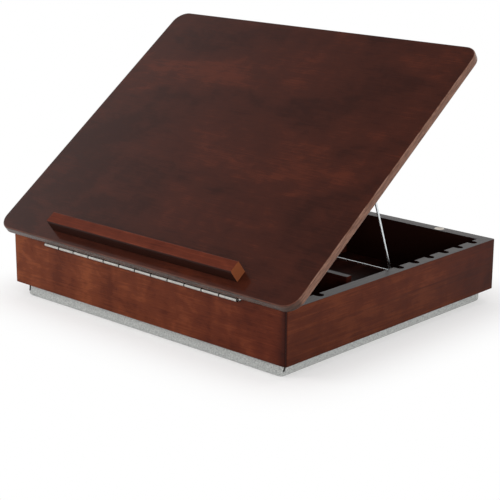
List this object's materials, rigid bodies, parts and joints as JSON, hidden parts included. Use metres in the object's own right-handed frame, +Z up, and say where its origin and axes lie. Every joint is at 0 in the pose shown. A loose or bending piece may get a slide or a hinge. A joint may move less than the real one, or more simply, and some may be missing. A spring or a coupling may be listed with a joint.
{
  "type": "easel lap desk",
  "caption": "Easel lap desk: shallow wooden storage box on a soft grey pad, with a piano-hinged lid that a wire bail props at an angle, and a ledge along the lid's front.",
  "frame": {"origin": "middle of the pad's flat underside, on the surface that the desk stands on", "axes": "+X to the right along the hinge, +Y from the hinged front to the back, +Z up"},
  "size_m": [0.464, 0.3813, 0.3094],
  "materials": {
    "lid_wood": "satin espresso stain",
    "stained_wood": "satin walnut stain",
    "inside_wood": "matt dark stain",
    "nickel": "bright nickel plate",
    "wire": "drawn steel wire",
    "zinc_screws": "zinc plate",
    "grey_felt": "heathered light grey weave",
    "foam": "open-cell foam"
  },
  "bodies": {
    "base": {"front_wall": "stained_wood", "back_wall": "stained_wood", "left_wall": "stained_wood", "right_wall": "stained_wood", "bottom_panel": "inside_wood", "centre_divider": "inside_wood", "cross_divider": "inside_wood", "hinge_base_leaf": "nickel", "hinge_pin": "wire", "hinge_base_screws": "nickel", "left_magnet": "nickel", "right_magnet": "nickel", "pad_foam": "foam", "pad_cover": "grey_felt"},
    "lid": {"lid_board": "lid_wood", "stop_ledge": "stained_wood", "ledge_screws": "zinc_screws", "hinge_lid_leaf": "nickel", "hinge_lid_screws": "nickel", "left_prop_clip": "nickel", "right_prop_clip": "nickel", "clip_screws": "zinc_screws", "left_strike": "wire", "right_strike": "wire"},
    "bail": {"prop_bail": "wire"}
  },
  "joints": [
    {"name": "lid_hinge", "type": "hinge", "parent": "base", "child": "lid", "pos_m": [0, -0.1895, 0.0749], "axis": [1, 0, 0], "range_deg": [-36.25, 24]},
    {"name": "prop_pivot", "type": "hinge", "parent": "lid", "child": "bail", "pos_m": [0, -0.02994, 0.19214], "axis": [1, 0, 0], "range_deg": [-70.9, 106.83]}
  ],
  "couplings": [
    {"joint": "prop_pivot", "follows": "lid_hinge", "ratio": -2.9333}
  ]
}
